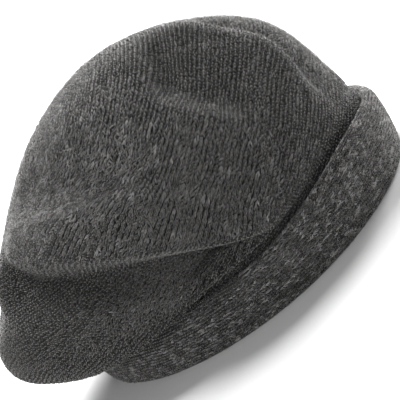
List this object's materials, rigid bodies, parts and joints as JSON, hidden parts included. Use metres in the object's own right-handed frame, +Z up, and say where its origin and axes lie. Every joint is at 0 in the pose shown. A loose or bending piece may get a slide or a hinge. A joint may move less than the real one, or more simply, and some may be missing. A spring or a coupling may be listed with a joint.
{
  "type": "wool beanie",
  "caption": "Slouched knitted wool beanie with a turned-up cuff, in charcoal melange, resting on its cuff.",
  "frame": {"origin": "on the resting surface, under the middle of the hat's box", "axes": "+X towards the forehead, +Y towards the wearer's left, +Z up out of the opening's plane towards the crown"},
  "size_m": [0.2512, 0.1821, 0.143],
  "materials": {
    "crown_knit": "matte charcoal melange wool knit with light stray fibres",
    "cuff_knit": "matte charcoal melange wool knit, finer rows along the band"
  },
  "bodies": {
    "root": {"crown": "crown_knit", "cuff": "cuff_knit"}
  },
  "joints": []
}
